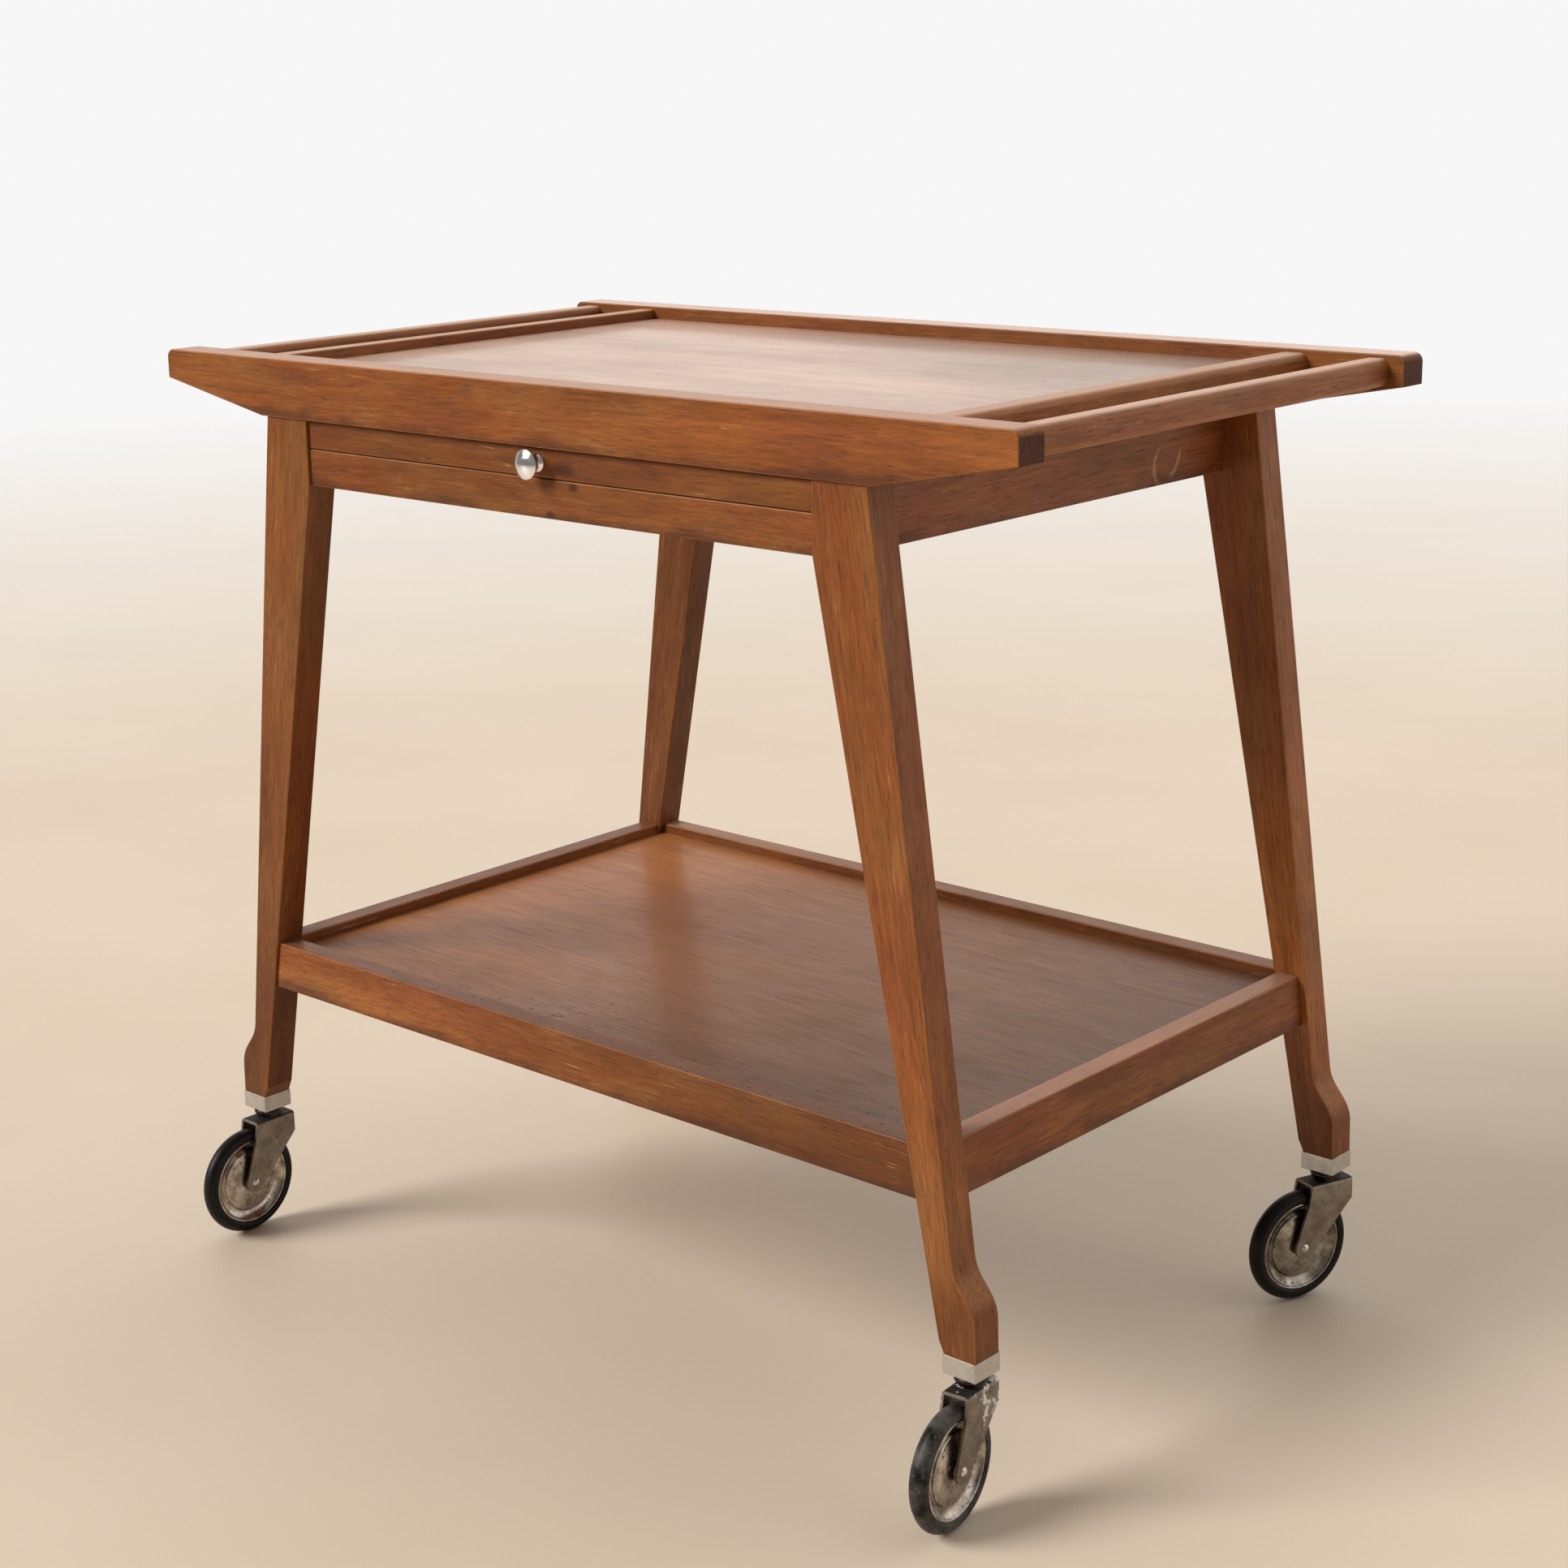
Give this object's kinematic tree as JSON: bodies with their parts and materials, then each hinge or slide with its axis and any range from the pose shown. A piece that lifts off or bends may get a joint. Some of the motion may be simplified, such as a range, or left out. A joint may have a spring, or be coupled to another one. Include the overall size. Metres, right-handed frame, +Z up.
{
  "type": "bar cart",
  "caption": "Teak bar cart: tray with end handles, pull-out serving leaf with a knob, splayed legs, lower shelf and swivelling castors.",
  "frame": {"origin": "on the floor under the middle of the cart", "axes": "+Z up, +X along the length to the right end, -Y to the front with the serving leaf's knob"},
  "size_m": [0.74, 0.5232, 0.652],
  "materials": {
    "teak": "satin varnish, grain along each member",
    "teak_veneer": "satin varnish over veneer",
    "leaf_ply": "satin varnish over veneered board",
    "beech": "bare, unvarnished",
    "satin_aluminium": "satin",
    "tarnished_steel": "worn and tarnished, specks of rust",
    "blackened_steel": "black, oily gloss",
    "plain_steel": "plain",
    "rivet_steel": "polished by wear",
    "chrome": "polished",
    "black_rubber": "smooth hard rubber, dull shine"
  },
  "bodies": {
    "frame": {"back_apron": "teak", "back_left_ferrule": "satin_aluminium", "back_left_leg": "teak", "back_right_ferrule": "satin_aluminium", "back_right_leg": "teak", "back_shelf_rail": "teak", "back_side_rail": "teak", "castor_sockets": "plain_steel", "frame_dowels": "beech", "front_left_ferrule": "satin_aluminium", "front_left_leg": "teak", "front_lower_rail": "teak", "front_right_ferrule": "satin_aluminium", "front_right_leg": "teak", "front_shelf_rail": "teak", "front_side_rail": "teak", "left_end_apron": "teak", "left_handle_bar": "teak", "left_leaf_runner": "beech", "left_shelf_rail": "teak", "left_tray_end_bar": "teak", "right_end_apron": "teak", "right_handle_bar": "teak", "right_leaf_runner": "beech", "right_shelf_rail": "teak", "right_tray_end_bar": "teak", "runner_screws": "plain_steel", "shelf_dowels": "beech", "shelf_panel": "teak_veneer", "top_panel": "teak_veneer"},
    "serving_leaf": {"leaf_board": "leaf_ply", "leaf_front": "teak", "leaf_stop": "beech", "leaf_stop_screws": "plain_steel", "leaf_knob": "chrome", "leaf_knob_screw": "plain_steel"},
    "front_left_castor": {"front_left_castor_stem": "plain_steel", "front_left_castor_neck": "blackened_steel", "front_left_castor_fork": "tarnished_steel", "front_left_castor_axle": "rivet_steel"},
    "front_left_wheel": {"front_left_wheel_disc": "tarnished_steel", "front_left_tyre": "black_rubber"},
    "front_right_castor": {"front_right_castor_stem": "plain_steel", "front_right_castor_neck": "blackened_steel", "front_right_castor_fork": "tarnished_steel", "front_right_castor_axle": "rivet_steel"},
    "front_right_wheel": {"front_right_wheel_disc": "tarnished_steel", "front_right_tyre": "black_rubber"},
    "back_right_castor": {"back_right_castor_stem": "plain_steel", "back_right_castor_neck": "blackened_steel", "back_right_castor_fork": "tarnished_steel", "back_right_castor_axle": "rivet_steel"},
    "back_right_wheel": {"back_right_wheel_disc": "tarnished_steel", "back_right_tyre": "black_rubber"},
    "back_left_castor": {"back_left_castor_stem": "plain_steel", "back_left_castor_neck": "blackened_steel", "back_left_castor_fork": "tarnished_steel", "back_left_castor_axle": "rivet_steel"},
    "back_left_wheel": {"back_left_wheel_disc": "tarnished_steel", "back_left_tyre": "black_rubber"}
  },
  "joints": [
    {"name": "leaf_slide", "type": "slide", "parent": "frame", "child": "serving_leaf", "axis": [0, -1, 0], "range_m": [0, 0.23]},
    {"name": "front_left_swivel", "type": "hinge", "parent": "frame", "child": "front_left_castor", "pos_m": [-0.3297, -0.19925, 0.08], "axis": [0, 0, 1], "continuous": true},
    {"name": "front_left_roll", "type": "hinge", "parent": "front_left_castor", "child": "front_left_wheel", "pos_m": [-0.3297, -0.22215, 0.0395], "axis": [1, 0, 0], "continuous": true},
    {"name": "front_right_swivel", "type": "hinge", "parent": "frame", "child": "front_right_castor", "pos_m": [0.3297, -0.19925, 0.08], "axis": [0, 0, 1], "continuous": true},
    {"name": "front_right_roll", "type": "hinge", "parent": "front_right_castor", "child": "front_right_wheel", "pos_m": [0.33209, -0.22203, 0.0395], "axis": [0.9945, 0.1045, 0], "continuous": true},
    {"name": "back_right_swivel", "type": "hinge", "parent": "frame", "child": "back_right_castor", "pos_m": [0.3297, 0.19925, 0.08], "axis": [0, 0, 1], "continuous": true},
    {"name": "back_right_roll", "type": "hinge", "parent": "back_right_castor", "child": "back_right_wheel", "pos_m": [0.32187, 0.17773, 0.0395], "axis": [0.9397, -0.342, 0], "continuous": true},
    {"name": "back_left_swivel", "type": "hinge", "parent": "frame", "child": "back_left_castor", "pos_m": [-0.3297, 0.19925, 0.08], "axis": [0, 0, 1], "continuous": true},
    {"name": "back_left_roll", "type": "hinge", "parent": "back_left_castor", "child": "back_left_wheel", "pos_m": [-0.3297, 0.22215, 0.0395], "axis": [-1, 0, 0], "continuous": true}
  ]
}
